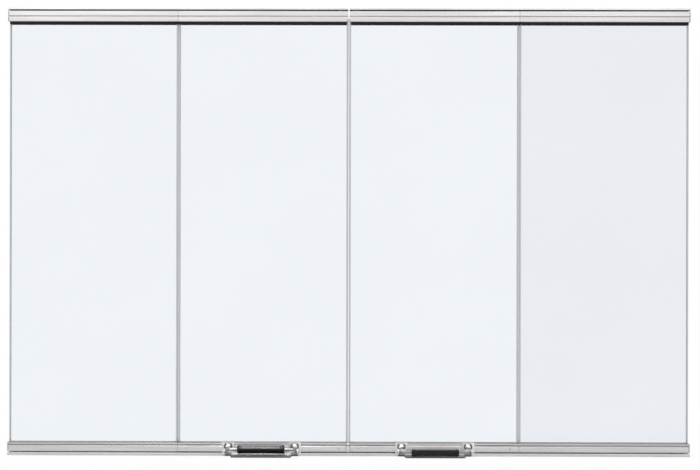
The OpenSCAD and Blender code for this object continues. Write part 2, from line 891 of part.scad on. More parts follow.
inner_gaskets();  // right_inner_gaskets
inner_hinge_leaves();  // right_inner_hinge_leaves
inner_hinge_screws();  // right_inner_hinge_screws
inner_clamp_screws();  // right_inner_clamp_screws
guide_block();  // right_guide_block
guide_spring();  // right_guide_spring
handle_plate();  // right_handle_plate
handle_screws();  // right_handle_screws
guide_plunger();  // right_guide_plunger
bail(0);  // right_bail
grip(0);  // right_grip
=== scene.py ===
"""Finishes, finer pieces, studio and camera for a bi-fold fireplace glass door set.

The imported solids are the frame. Most metal and plastic solids come back with their edges rounded, and
the panes, handles, screws and springs are made anew in the same places. Lengths are in metres.
"""
import json
import math

import bmesh
import bpy
from mathutils import Matrix, Vector

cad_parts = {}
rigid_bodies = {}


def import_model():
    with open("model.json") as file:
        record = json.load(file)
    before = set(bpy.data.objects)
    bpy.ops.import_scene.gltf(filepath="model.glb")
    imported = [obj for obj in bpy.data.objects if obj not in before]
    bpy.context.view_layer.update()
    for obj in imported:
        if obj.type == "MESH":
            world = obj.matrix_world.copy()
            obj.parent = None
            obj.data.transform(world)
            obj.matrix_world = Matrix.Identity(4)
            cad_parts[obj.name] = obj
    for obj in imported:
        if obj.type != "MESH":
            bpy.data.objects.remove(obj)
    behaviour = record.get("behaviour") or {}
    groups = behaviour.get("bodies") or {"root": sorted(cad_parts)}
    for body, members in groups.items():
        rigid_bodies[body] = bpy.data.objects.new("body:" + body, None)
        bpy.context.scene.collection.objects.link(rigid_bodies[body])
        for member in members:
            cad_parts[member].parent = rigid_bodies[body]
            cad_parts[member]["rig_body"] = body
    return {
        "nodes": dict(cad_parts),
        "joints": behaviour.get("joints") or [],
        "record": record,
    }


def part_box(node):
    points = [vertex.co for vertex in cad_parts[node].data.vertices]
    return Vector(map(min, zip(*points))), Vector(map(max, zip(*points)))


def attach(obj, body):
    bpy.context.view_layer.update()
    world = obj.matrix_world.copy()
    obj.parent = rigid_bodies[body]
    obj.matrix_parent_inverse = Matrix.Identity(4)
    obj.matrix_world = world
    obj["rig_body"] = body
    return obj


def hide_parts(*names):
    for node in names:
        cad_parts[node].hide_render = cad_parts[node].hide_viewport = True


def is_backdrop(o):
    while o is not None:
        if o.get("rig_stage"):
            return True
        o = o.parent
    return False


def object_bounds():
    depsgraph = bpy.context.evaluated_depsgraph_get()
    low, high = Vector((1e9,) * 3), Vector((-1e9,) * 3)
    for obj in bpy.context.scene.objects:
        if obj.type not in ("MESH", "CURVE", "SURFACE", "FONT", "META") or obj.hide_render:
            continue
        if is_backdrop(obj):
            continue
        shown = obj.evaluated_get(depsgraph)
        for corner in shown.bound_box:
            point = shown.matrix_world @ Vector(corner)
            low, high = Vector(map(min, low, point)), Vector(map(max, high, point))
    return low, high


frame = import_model()
cad_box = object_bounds()

MM = 0.001
SIDES = ("left", "right")
SEED = 7

# ---- Finishes ----

MIX_A, MIX_B, MIX_COLOUR = 6, 7, 2  # a colour Mix node's two inputs and its output


def linear(hex_colour):
    """An sRGB hex colour as linear RGBA."""
    parts = [int(hex_colour[i:i + 2], 16) / 255 for i in (1, 3, 5)]
    return (*[c / 12.92 if c <= 0.04045 else ((c + 0.055) / 1.055) ** 2.4 for c in parts], 1.0)


def add_node(tree, kind, inputs=None, **settings):
    """Adds a node with its settings; an input is given a value or the socket that it is linked to."""
    node = tree.nodes.new(kind)
    for name, value in settings.items():
        setattr(node, name, value)
    for name, value in (inputs or {}).items():
        socket = node.inputs[name]
        if isinstance(value, bpy.types.NodeSocket):
            tree.links.new(value, socket)
        else:
            socket.default_value = value
    return node


def new_finish(name):
    """An empty material and its node tree."""
    material = bpy.data.materials.new(name)
    material.use_nodes = True
    material.node_tree.nodes.clear()
    return material, material.node_tree


def show(tree, shader):
    """Makes a shader the one that the material shows."""
    add_node(tree, "ShaderNodeOutputMaterial", {"Surface": shader})


def grain(tree, size_mm, detail=2.0):
    """Noise on Object coordinates, its mean grain size_mm long along X, Y and Z."""
    place = add_node(tree, "ShaderNodeTexCoord")
    scale = add_node(tree, "ShaderNodeMapping", {
        "Vector": place.outputs["Object"],
        "Scale": [1 / (mm * MM) for mm in size_mm]})
    return add_node(tree, "ShaderNodeTexNoise", {
        "Vector": scale.outputs["Vector"], "Scale": 1.0, "Detail": detail}).outputs["Fac"]


def brushed_metal(name, dark, light, rough, along_mm=90.0, across_mm=1.3, bump_mm=0.02):
    """Metal brushed along its length. Real brush lines are 0.1 to 0.3 mm apart; they are drawn at
    across_mm so that they show. The lines change the tone a little and the gloss more."""
    material, tree = new_finish(name)
    lines = grain(tree, (along_mm, across_mm, across_mm), 3.0)
    cloud = grain(tree, (160.0, 40.0, 40.0))
    spread = add_node(tree, "ShaderNodeMapRange", {
        "Value": lines, "From Min": 0.3, "From Max": 0.7})
    tone = add_node(tree, "ShaderNodeMix", {
        0: spread.outputs["Result"], MIX_A: linear(dark), MIX_B: linear(light)}, data_type="RGBA")
    gloss = add_node(tree, "ShaderNodeMapRange", {
        "Value": cloud, "From Min": 0.3, "From Max": 0.7, "To Min": rough - 0.05, "To Max": rough + 0.06})
    relief = add_node(tree, "ShaderNodeBump", {
        "Strength": 0.35, "Distance": bump_mm * MM, "Height": lines})
    metal = add_node(tree, "ShaderNodeBsdfPrincipled", {
        "Base Color": tone.outputs[MIX_COLOUR], "Metallic": 1.0,
        "Roughness": gloss.outputs["Result"], "Normal": relief.outputs["Normal"]})
    show(tree, metal.outputs["BSDF"])
    return material


def plated_metal(name, dark, light, rough, grain_mm=6.0):
    """Small plated or ground hardware: an even metal with faint clouds of handling wear."""
    material, tree = new_finish(name)
    wear = grain(tree, (grain_mm,) * 3, 4.0)
    tone = add_node(tree, "ShaderNodeMix", {
        0: wear, MIX_A: linear(dark), MIX_B: linear(light)}, data_type="RGBA")
    gloss = add_node(tree, "ShaderNodeMapRange", {
        "Value": wear, "From Min": 0.3, "From Max": 0.7, "To Min": rough, "To Max": rough + 0.08})
    metal = add_node(tree, "ShaderNodeBsdfPrincipled", {
        "Base Color": tone.outputs[MIX_COLOUR], "Metallic": 1.0, "Roughness": gloss.outputs["Result"]})
    show(tree, metal.outputs["BSDF"])
    return material


def moulded_plastic(name, dark, light, rough, grain_mm, bump_mm, ior=1.5):
    """Moulded plastic or rubber with a fine spark-eroded grain."""
    material, tree = new_finish(name)
    skin = grain(tree, (grain_mm,) * 3, 3.0)
    cloud = grain(tree, (14.0,) * 3)
    tone = add_node(tree, "ShaderNodeMix", {
        0: cloud, MIX_A: linear(dark), MIX_B: linear(light)}, data_type="RGBA")
    gloss = add_node(tree, "ShaderNodeMapRange", {
        "Value": cloud, "From Min": 0.3, "From Max": 0.7, "To Min": rough, "To Max": rough + 0.1})
    relief = add_node(tree, "ShaderNodeBump", {
        "Strength": 0.4, "Distance": bump_mm * MM, "Height": skin})
    body = add_node(tree, "ShaderNodeBsdfPrincipled", {
        "Base Color": tone.outputs[MIX_COLOUR], "Roughness": gloss.outputs["Result"], "IOR": ior,
        "Normal": relief.outputs["Normal"]})
    show(tree, body.outputs["BSDF"])
    return material


def tempered_glass(name, dark, light):
    """Clear tempered float glass, 5 mm: a faint blue cast, and a slow wave from the tempering rollers.
    Light from the lamps goes straight through it."""
    material, tree = new_finish(name)
    wave = grain(tree, (900.0, 900.0, 300.0))
    relief = add_node(tree, "ShaderNodeBump", {
        "Strength": 0.2, "Distance": 0.05 * MM, "Height": wave})
    film = grain(tree, (220.0, 220.0, 160.0), 3.0)
    tint = add_node(tree, "ShaderNodeMix", {
        0: film, MIX_A: linear(dark), MIX_B: linear(light)}, data_type="RGBA")
    glass = add_node(tree, "ShaderNodeBsdfPrincipled", {
        "Base Color": tint.outputs[MIX_COLOUR], "Roughness": 0.0, "IOR": 1.5,
        "Transmission Weight": 1.0, "Normal": relief.outputs["Normal"]})
    clear = add_node(tree, "ShaderNodeBsdfTransparent", {"Color": linear("#F0F5F8")})
    ray = add_node(tree, "ShaderNodeLightPath")
    pane = add_node(tree, "ShaderNodeMixShader", {
        0: ray.outputs["Is Shadow Ray"], 1: glass.outputs["BSDF"], 2: clear.outputs["BSDF"]})
    show(tree, pane.outputs["Shader"])
    return material


def pencil_edge():
    """The rounded edges of a pane: the fine grey frost that a grinding wheel leaves."""
    material, tree = new_finish("pencil_ground_float_glass_edge")
    frost = grain(tree, (3.0, 3.0, 40.0), 4.0)
    tone = add_node(tree, "ShaderNodeMix", {
        0: frost, MIX_A: linear("#BABDC1"), MIX_B: linear("#D0D3D7")}, data_type="RGBA")
    edge = add_node(tree, "ShaderNodeBsdfPrincipled", {
        "Base Color": tone.outputs[MIX_COLOUR], "Roughness": 0.45, "IOR": 1.5})
    show(tree, edge.outputs["BSDF"])
    return material


FINISH = {
    # Drawn stainless steel, brushed along its length: pale and warm, and what it mirrors is drawn out
    # into soft bands with fine lines along them
    "rail": brushed_metal("brushed_stainless_rail", "#C6C4C3", "#DAD8D7", 0.34),
    "track": brushed_metal("brushed_stainless_track", "#C9C8C7", "#DBDAD9", 0.34),
    # Die-cast zinc, linished in short strokes: a shade darker than the rail that it closes
    "end_cap": brushed_metal("linished_zinc_die_casting", "#A3A2A1", "#BBBAB9", 0.34, 8.0, 2.0),
    # Zinc-plated mild steel: cool grey, with faint clouds where it is handled
    "hinge": plated_metal("zinc_plated_steel", "#A9ABAC", "#C2C4C5", 0.30),
    # Ground bright steel: almost a mirror
    "pin": plated_metal("ground_bright_steel", "#B5B5B4", "#CFCFCE", 0.16),
    # Nickel plate: bright, and a little yellow beside the stainless steel
    "screw": plated_metal("nickel_plated_steel", "#B7B5AF", "#D3D1CB", 0.20),
    # Black oxide on steel: charcoal with a dull shine
    "grub_screw": plated_metal("black_oxide_steel", "#2B2B2C", "#47474A", 0.38, 1.5),
    # Drawn spring wire: grey and smooth
    "spring": plated_metal("drawn_spring_wire", "#8C8D8E", "#B2B3B4", 0.22, 1.0),
    # Stamped stainless sheet, satin: the palest metal here, too dull to mirror anything sharply
    "handle_plate": brushed_metal("satin_stamped_stainless", "#D3D2D1", "#E6E5E4", 0.46, 24.0, 1.0),
    # Bent flat bar left satin: mid grey, with no clear highlight
    "bail": brushed_metal("satin_stainless_strap", "#8C8B8A", "#A3A2A1", 0.50, 12.0, 0.8),
    # Polished stainless steel: a mirror, so each dome shows one white spot
    "dome_screw": plated_metal("polished_stainless_dome", "#F0F0EF", "#F8F8F7", 0.08),
    # Natural nylon: warm off-white, slightly waxy
    "nylon": moulded_plastic("natural_nylon_moulding", "#D9D6CB", "#E6E3D9", 0.42, 0.5, 0.02),
    # Black silicone rubber: matt, so that it reads as one even line
    "gasket": moulded_plastic("black_silicone_rubber", "#0B0B0C", "#141415", 0.55, 0.4, 0.02, 1.36),
    # Black nylon moulded in a smooth tool: black, with a soft grey sheen on the side that faces a lamp
    "grip": moulded_plastic("satin_black_nylon", "#060607", "#0C0C0D", 0.10, 0.35, 0.01, 1.36),
    # Tempered float glass: nearly white with a cool cast
    "glass": tempered_glass("clear_tempered_float_glass", "#ECF0F5", "#F1F5F9"),
}
# Float glass with a greyer tint, given to the pane at the right end
GREYER_GLASS = tempered_glass("tempered_float_glass_greyer_tint", "#E6E9EF", "#EBEEF3")
GLASS_EDGE = pencil_edge()
# Painted shade: the rail's metal made darker and duller in the narrow grooves. Painted light: the same
# metal made pale in the open slot that holds the glass
RAIL_GROOVE = brushed_metal("stainless_groove_painted_shade", "#939291", "#ABAAA9", 0.36, 120.0, 1.0)
SLOT_WALL = brushed_metal("stainless_slot_painted_light", "#E4E3E2", "#F0EFEE", 0.62, 120.0, 1.0)
# Painted shade: a dark grey inside the tracks and on the top of the rails, where the channel is in shade
TRACK_INSIDE = brushed_metal("stainless_channel_painted_shade", "#4C4B4A", "#626160", 0.45, 120.0, 1.0)
# The short plate at a bottom rail's inner end, polished: brighter than the rail beside it
END_PLATE = brushed_metal("polished_stainless_end_plate", "#D6D5D4", "#E4E3E2", 0.18, 8.0, 1.0)
# Painted light: the stretch of rail behind a grip made pale and matt, so that it mirrors nothing of the black
# grip
BEHIND_GRIP = brushed_metal("stainless_behind_grip_painted_light", "#E4E2E1", "#F2F0EF", 0.64, 24.0, 1.0)
# Painted shade: a thin dark line on the edge in the seam beside the end plate
SEAM = plated_metal("steel_seam_painted_shade", "#3C3B3A", "#525150", 0.5, 1.5)
# Painted shade: the handle plate's shelf, the sides of its dishes and the edge of the bottom rails' rib
# are made mid to dark grey
SHELF = brushed_metal("stamped_shelf_painted_shade", "#787776", "#8E8D8C", 0.40, 24.0, 1.0)
DISH = plated_metal("pressed_step_painted_shade", "#585756", "#777674", 0.42, 2.0)
# Painted highlight: the bend between plate and shelf beside the grip made near white, one white streak
BEND = plated_metal("stainless_bend_painted_highlight", "#F0F0EF", "#F8F8F7", 0.08, 4.0)

# ---- Mesh tools ----


def fit(piece, node, smooth_deg=35.0):
    """Gives a piece the finish, body and slot of the CAD node that it stands for. Edges that turn more
    than smooth_deg stay sharp; None keeps the normals that the piece has."""
    slot = next(p["material_slot"] for p in frame["record"]["subparts"] if p["node"] == node)
    if not piece.data.materials:
        piece.data.materials.append(FINISH[slot])
    if smooth_deg is not None:
        piece.data.shade_smooth()
        piece.data.set_sharp_from_angle(angle=math.radians(smooth_deg))
    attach(piece, frame["nodes"][node]["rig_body"])
    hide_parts(node)
    return piece


def to_object(name, mesh_data):
    """A new object in the scene from a bmesh or a mesh."""
    mesh = mesh_data
    if isinstance(mesh_data, bmesh.types.BMesh):
        mesh = bpy.data.meshes.new(name)
        mesh_data.to_mesh(mesh)
        mesh_data.free()
    piece = bpy.data.objects.new(name, mesh)
    bpy.context.scene.collection.objects.link(piece)
    return piece


def applied(piece):
    """Turns a piece's modifiers into plain mesh."""
    bpy.context.view_layer.update()
    done = piece.evaluated_get(bpy.context.evaluated_depsgraph_get())
    mesh = bpy.data.meshes.new_from_object(done)
    piece.modifiers.clear()
    piece.data = mesh
    return piece


def merged(node):
    """A bmesh of a CAD node with its loose triangles joined."""
    solid = bmesh.new()
    solid.from_mesh(frame["nodes"][node].data)
    bmesh.ops.remove_doubles(solid, verts=solid.verts, dist=1e-6)
    return solid


def solid_boxes(node):
    """Lowest and highest corner of each separate solid in a CAD node, from left to right."""
    solid = merged(node)
    left, boxes = set(solid.verts), []
    while left:
        group, front = set(), {left.pop()}
        while front:
            group |= front
            front = {e.other_vert(v) for v in front for e in v.link_edges} - group
        left -= group
        points = [v.co for v in group]
        boxes.append((Vector([min(p[i] for p in points) for i in range(3)]),
                      Vector([max(p[i] for p in points) for i in range(3)])))
    solid.free()
    return sorted(boxes, key=lambda b: tuple(b[0]))


def rounded(node, radius_mm, segments=2):
    """Stands for a CAD node with a copy whose sharp edges are rounded."""
    solid = merged(node)
    bmesh.ops.dissolve_limit(solid, angle_limit=math.radians(0.5), verts=solid.verts, edges=solid.edges)
    piece = to_object(node + "_finished", solid)
    piece.data.shade_smooth()
    bevel = piece.modifiers.new("edges", "BEVEL")
    bevel.width = radius_mm * MM
    bevel.segments = segments
    bevel.limit_method = "ANGLE"
    bevel.angle_limit = math.radians(30)
    bevel.harden_normals = True
    return fit(applied(piece), node, None)


def drawn(outline, radius_mm):
    """A closed outline in Y and Z, in millimetres, with round corners; it starts on a straight side."""
    start = (Vector(outline[0]) + Vector(outline[-1])) / 2
    return [p * MM for p in filleted([start, *outline, start], radius_mm, 4)[1:-1]]


def from_profile(node, outline, radius_mm, areas=(), split_x=()):
    """Stands for a CAD node drawn along X with the same solid inside a profile with round edges. The
    profile stands a hair outside the flat faces, so that only its corners cut. Each area is a test for a
    face, and the finish that it has; faces are split at the places split_x."""
    low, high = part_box(node)
    hair = 0.01 * MM
    solid = skin([[(x, p.x, p.y) for p in drawn(outline, radius_mm)] for x in (low.x - hair, high.x + hair)])
    profile = to_object("profile", solid)
    metal = merged(node)
    for x in split_x:
        bmesh.ops.bisect_plane(metal, geom=[*metal.verts, *metal.edges, *metal.faces], dist=1e-7,
                               plane_co=(x, 0, 0), plane_no=(1, 0, 0))
    piece = to_object(node + "_drawn", metal)
    cut = piece.modifiers.new("profile", "BOOLEAN")
    cut.operation = "INTERSECT"
    cut.object = profile
    applied(piece)
    bpy.data.objects.remove(profile)
    piece.data.shade_smooth()
    piece.data.set_sharp_from_angle(angle=math.radians(35))
    weigh = piece.modifiers.new("weigh", "WEIGHTED_NORMAL")
    weigh.keep_sharp = True
    applied(piece)
    piece.data.materials.clear()
    fit(piece, node, None)
    for i, (is_there, finish) in enumerate(areas):
        piece.data.materials.append(finish)
        for face in piece.data.polygons:
            if is_there(face):
                face.material_index = i + 1
    return piece


def lathe(outline, turns_of=40):
    """A closed bmesh turned about Z from (radius, height) points; the first and last are on the axis."""
    solid = bmesh.new()
    rings = []
    for radius, height in outline:
        if radius < 1e-9:
            rings.append([solid.verts.new((0, 0, height))])
            continue
        rings.append([solid.verts.new((radius * math.cos(a), radius * math.sin(a), height))
                      for a in (2 * math.pi * i / turns_of for i in range(turns_of))])
    for low, high in zip(rings, rings[1:]):
        for i in range(turns_of):
            j = (i + 1) % turns_of
            corners = [low[i % len(low)], low[j % len(low)], high[j % len(high)], high[i % len(high)]]
            solid.faces.new(list(dict.fromkeys(corners)))
    bmesh.ops.recalc_face_normals(solid, faces=solid.faces)
    return solid


def arc(centre, radius, start_deg, end_deg, steps):
    """Points on an arc in a plane."""
    angles = [math.radians(start_deg + (end_deg - start_deg) * i / steps) for i in range(steps + 1)]
    return [Vector((centre[0] + radius * math.cos(a), centre[1] + radius * math.sin(a))) for a in angles]


def filleted(points, radius, steps=6):
    """An open path with its inner corners rounded, as far as the sides beside them leave room."""
    path = [Vector(points[0])]
    for before, corner, after in zip(points, points[1:], points[2:]):
        before, corner, after = Vector(before), Vector(corner), Vector(after)
        a, b = before - corner, after - corner
        half = a.angle(b) / 2
        reach = min(radius / math.tan(half), 0.49 * min(a.length, b.length))
        a, b = a.normalized(), b.normalized()
        centre = corner + (a + b).normalized() * reach / math.cos(half)
        start, end = corner + a * reach - centre, corner + b * reach - centre
        sweep = start.angle_signed(end)
        path += [centre + Matrix.Rotation(-sweep * i / steps, 2) @ start for i in range(steps + 1)]
    return path + [Vector(points[-1])]


def rounded_rect(width, height, radius, steps=4):
    """Outline of a rectangle about the origin with round corners."""
    x, y = width / 2 - radius, height / 2 - radius
    return [p for centre, start in (((x, y), 0), ((-x, y), 90), ((-x, -y), 180), ((x, -y), 270))
            for p in arc(centre, radius, start, start + 90, steps)]


def crowned_rect(width, height, radius, crown, steps=5, parts=6):
    """The same outline with sides that bulge by the crown and touch the rectangle in their middles."""
    flat = rounded_rect(width - 2 * crown, height - 2 * crown, radius, steps)
    outline = []
    for i, point in enumerate(flat):
        outline.append(point)
        if i % (steps + 1) == steps:
            after = flat[(i + 1) % len(flat)]
            way = (after - point).normalized()
            out = Vector((way.y, -way.x)) * crown
            outline += [point.lerp(after, k / parts) + out * (1 - (2 * k / parts - 1) ** 2)
                        for k in range(1, parts)]
    return outline


def skin(rings):
    """A closed bmesh over rings of equally many points, with a flat face over each end."""
    solid = bmesh.new()
    rows = [[solid.verts.new(p) for p in ring] for ring in rings]
    for low, high in zip(rows, rows[1:]):
        for i in range(len(low)):
            j = (i + 1) % len(low)
            solid.faces.new((low[i], low[j], high[j], high[i]))
    solid.faces.new(rows[0][::-1])
    solid.faces.new(rows[-1])
    bmesh.ops.recalc_face_normals(solid, faces=solid.faces)
    return solid


# ---- Rails and tracks ----

# Outlines in Y and Z, in millimetres, from the back round the top to the front
TOP_RAIL = [(7.51, 581.29), (7.51, 595.91), (-7.51, 595.91), (-7.51, 589.1), (-7.01, 588.6),
            (-7.01, 588.2), (-7.51, 587.7), (-7.51, 581.29)]
BOTTOM_RAIL = [(7.51, 5.59), (7.51, 17.61), (-7.26, 17.61), (-7.26, 15.3), (-6.01, 14.9),
               (-6.01, 13.5), (-7.51, 13.5), (-7.51, 5.59)]
TOP_TRACK = [(27.01, 600.01), (-7.01, 600.01), (-7.01, 596.99), (7.01, 596.99),
             (7.01, 598.79), (27.01, 598.79)]
SILL_CHANNEL = [(7.01, -1.5), (7.01, 4.21), (-7.01, 4.21), (-7.01, -1.5)]

# Where the faces lie that have a finish of their own: the Y that they are in front of, or the range of
# X, Y or Z that they are in
TOP_GROOVE_Y, TOP_GROOVE_Z = -6.8 * MM, (587.75 * MM, 589.05 * MM)
BOTTOM_GROOVE_Y, BOTTOM_GROOVE_Z = -5.8 * MM, (13.4 * MM, 15.2 * MM)
TOP_EDGE_Z = 595.3 * MM
SLOT_HALF_W = 4.7 * MM
RIB_Y, RIB_TOP_Z = -6.4 * MM, 17.05 * MM
CHANNEL_HALF_W = 5.3 * MM
TOP_TRACK_Z = (500 * MM, 597.4 * MM)
END_PLATE_X, END_PLATE_Y = 2.4 * MM, -6.9 * MM
SEAM_X, SEAM_Y = (2.4 * MM, 3.0 * MM), (-7.3 * MM, -6.2 * MM)
EAR_X = 36.5 * MM
GRIP_X = (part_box("right_grip")[0].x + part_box("right_grip")[1].x) / 2


def within(value, limits):
    """Whether a value lies between two limits."""
    return limits[0] < value < limits[1]


def lengthwise(face):
    """Whether a face runs along X."""
    return abs(face.normal.x) < 0.5


def top_groove(face):
    """The groove along the front of a top rail."""
    return lengthwise(face) and face.center.y < TOP_GROOVE_Y and within(face.center.z, TOP_GROOVE_Z)


def bottom_groove(face):
    """The groove along the front of a bottom rail."""
    return lengthwise(face) and face.center.y < BOTTOM_GROOVE_Y and within(face.center.z, BOTTOM_GROOVE_Z)


def top_edge(face):
    """The top of a top rail, and its upper edge, which carry painted shade."""
    return lengthwise(face) and face.center.z > TOP_EDGE_Z


def slot_wall(face):
    """The walls of the slot that takes the glass."""
    return abs(face.normal.y) > 0.9 and abs(face.center.y) < SLOT_HALF_W


def rib_edge(face):
    """The upper edge of the rib along the front of a bottom rail, which carries painted shade."""
    return lengthwise(face) and face.center.z > RIB_TOP_Z and face.center.y < RIB_Y


def behind_grip(face):
    """The front of an inner bottom rail between the ears of its handle plate."""
    return (lengthwise(face) and face.center.y < BOTTOM_GROOVE_Y and face.center.z < RIB_TOP_Z
            and abs(abs(face.center.x) - GRIP_X) < EAR_X)


def track_inside(face):
    """The inner faces of a track's channel, and the lower edge of the top track's front wall."""
    return lengthwise(face) and (abs(face.center.y) < CHANNEL_HALF_W or within(face.center.z, TOP_TRACK_Z))


def end_plate(face):
    """The plate on the end of an inner bottom rail, where the doors meet."""
    return abs(face.center.x) < END_PLATE_X and face.center.y < END_PLATE_Y


def plate_seam(face):
    """The seam beside that plate."""
    return within(abs(face.center.x), SEAM_X) and within(face.center.y, SEAM_Y)


for side in SIDES:
    for panel in ("outer", "inner"):
        from_profile(f"{side}_{panel}_top_rail", TOP_RAIL, 0.9, [
            (top_groove, RAIL_GROOVE), (top_edge, TRACK_INSIDE)])
    bottom_areas = [(bottom_groove, RAIL_GROOVE), (rib_edge, DISH), (slot_wall, SLOT_WALL)]
    from_profile(f"{side}_outer_bottom_rail", BOTTOM_RAIL, 0.65, bottom_areas)
    ears = [math.copysign(GRIP_X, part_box(side + "_grip")[0].x) + way * EAR_X for way in (-1, 1)]
    from_profile(f"{side}_inner_bottom_rail", BOTTOM_RAIL, 0.65, [
        *bottom_areas, (behind_grip, BEHIND_GRIP), (end_plate, END_PLATE), (plate_seam, SEAM)], ears)
    from_profile(f"{side}_top_track", TOP_TRACK, 0.5, [(track_inside, TRACK_INSIDE)])
    # Painted light: the inside of the sill channel is given the pale slot finish
    from_profile(f"{side}_sill_channel", SILL_CHANNEL, 1.0, [(track_inside, SLOT_WALL)])

# ---- Small solids with rounded edges ----

# The radius of each one's edges
ROUNDED_MM = {
    "pivot_sockets": 0.2, "outer_gaskets": 0.2, "inner_gaskets": 0.2, "end_caps": 0.25,
    "outer_hinge_leaves": 0.2, "inner_hinge_leaves": 0.2, "hinge_pins": 0.2,
    "sill_pivot_pin": 0.3, "top_pivot_pin": 0.25, "pivot_block": 0.25, "guide_block": 0.25,
    "guide_plunger": 0.25,
}
for side in SIDES:
    for part, radius in ROUNDED_MM.items():
        rounded(f"{side}_{part}", radius)

# ---- Panes ----


def pane(node):
    """A pane with pencil-round sides: clear flat faces, and a frosted half-round edge at either side. The
    pane at the right end looks greyer in the photo than the other three."""
    low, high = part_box(node)
    middle = (low + high) / 2
    outline = rounded_rect(high.x - low.x, high.y - low.y, (high.y - low.y) / 2 - 1e-6, 8)
    solid = skin([[(middle.x + p.x, middle.y + p.y, z) for p in outline] for z in (low.z, high.z)])
    for face in solid.faces:
        face.smooth = True
        face.material_index = 0 if abs(face.normal.y) > 0.9999 else 1
    for edge in solid.edges:
        edge.smooth = all(f.material_index == 1 and abs(f.normal.z) < 0.5 for f in edge.link_faces)
    piece = to_object(node + "_pane", solid)
    piece.data.materials.append(GREYER_GLASS if node == "right_outer_glass" else FINISH["glass"])
    piece.data.materials.append(GLASS_EDGE)
    return fit(piece, node, None)


for side in SIDES:
    for part in ("outer_glass", "inner_glass"):
        pane(f"{side}_{part}")

# ---- Handles ----

# The strap's section and bends, its studs, and how far its arms and its bar stand from the studs' axis
STRAP = Vector((2.4, 3.6)) * MM
STRAP_ROUND = 0.7 * MM
STRAP_BEND = 2.6 * MM
STUD_D = 3.0 * MM
STUD_TIP = 0.3 * MM
ARM_X = 46.0 * MM
BAR_X = 42.0 * MM
BAR_BACK = 4.4 * MM
ARM_END = 2.0 * MM


def handle_joint(side):
    """Axis point of a handle, and how far it is drawn above its stop, in radians."""
    joint = next(j for j in frame["joints"] if j["name"] == side + "_handle_swing")
    return Vector(joint["pos_m"]), -math.radians(joint["range_deg"][0])


def raised(piece, side):
    """Turns a piece about the bail's studs to the angle at which the photo shows it."""
    pivot, angle = handle_joint(side)
    turn = Matrix.Rotation(-angle, 4, "X")
    piece.data.transform(Matrix.Translation(pivot) @ turn)
    return piece


def bail(side):
    """The strap that carries the grip, bent from flat bar, with a turned stud at each end."""
    arm = [(-ARM_X, ARM_END), (-ARM_X, -ARM_END), (-BAR_X, -BAR_BACK)]
    path = filleted(arm + [(-x, y) for x, y in reversed(arm)], STRAP_BEND)
    section = rounded_rect(STRAP.x, STRAP.y, STRAP_ROUND)
    rings = []
    for i, point in enumerate(path):
        along = (path[min(i + 1, len(path) - 1)] - path[max(i - 1, 0)]).normalized()
        across = Vector((-along.y, along.x))
        rings.append([(point.x + across.x * p.x, point.y + across.y * p.x, p.y) for p in section])
    solid = skin(rings)
    pivot, _ = handle_joint(side)
    reach = (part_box(side + "_bail")[1].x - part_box(side + "_bail")[0].x) / 2
    length = reach - ARM_X
    for way in (-1, 1):
        stud = lathe([(0, 0), (STUD_D / 2, 0), (STUD_D / 2, length - STUD_TIP),
                      (STUD_D / 2 - STUD_TIP, length), (0, length)], 24)
        stud.transform(Matrix.Translation((way * ARM_X, 0, 0)) @ Matrix.Rotation(way * math.pi / 2, 4, "Y"))
        mesh = bpy.data.meshes.new("stud")
        stud.to_mesh(mesh)
        stud.free()
        solid.from_mesh(mesh)
        bpy.data.meshes.remove(mesh)
    return fit(raised(to_object(side + "_bail_strap", solid), side), side + "_bail")


# The grip's length, depth and height, its round edges and ends, the collar at each end, how far its waist
# is drawn in, and how far its sides bulge
GRIP = Vector((63.0, 9.0, 8.7)) * MM
GRIP_ROUND = 1.7 * MM
GRIP_END = 1.6 * MM
COLLAR_X = 4.5 * MM
WAIST = 0.5 * MM
CROWN = 0.09 * MM


def grip(side):
    """The black grip: a bar with round edges, a collar at each end and a slight waist between them."""
    half = GRIP.x / 2
    stations = [(-half, GRIP_END)]
    stations += [(-half + GRIP_END * (1 - math.cos(a)), GRIP_END * (1 - math.sin(a)))
                 for a in (math.radians(d) for d in (20, 40, 60, 90))]
    stations += [(-half + COLLAR_X + k * WAIST, inset)
                 for k, inset in ((0, 0), (1, WAIST * 0.7), (2, WAIST), (4, WAIST))]
    stations += [(-x, inset) for x, inset in reversed(stations)]
    rings = []
    for x, inset in stations:
        outline = crowned_rect(GRIP.y - 2 * inset, GRIP.z - 2 * inset, GRIP_ROUND - inset * 0.5, CROWN)
        rings.append([(x, p.x - BAR_BACK, p.y) for p in outline])
    return fit(raised(to_object(side + "_grip_moulding", skin(rings)), side), side + "_grip")


# The dishes and how deep they lie behind the plate's front, the shelf's top, the plate's front and its
# round edges, how far the bend is sunk into the plate, and the bend with its stretch of painted highlight
DISH_R = 5.7 * MM
DISH_Y = (0.02 * MM, 0.9 * MM)
SHELF_TOP = 2.6 * MM
PLATE_FRONT = -9.0 * MM
PLATE_EDGE_MM = 0.3
SKIN_IN = 0.05 * MM
BEND_R = 1.9 * MM
HIGHLIGHT_Z = 3.11 * MM
BEND_X = 48.2 * MM
HIGHLIGHT_X = (31.5 * MM, 39.5 * MM)


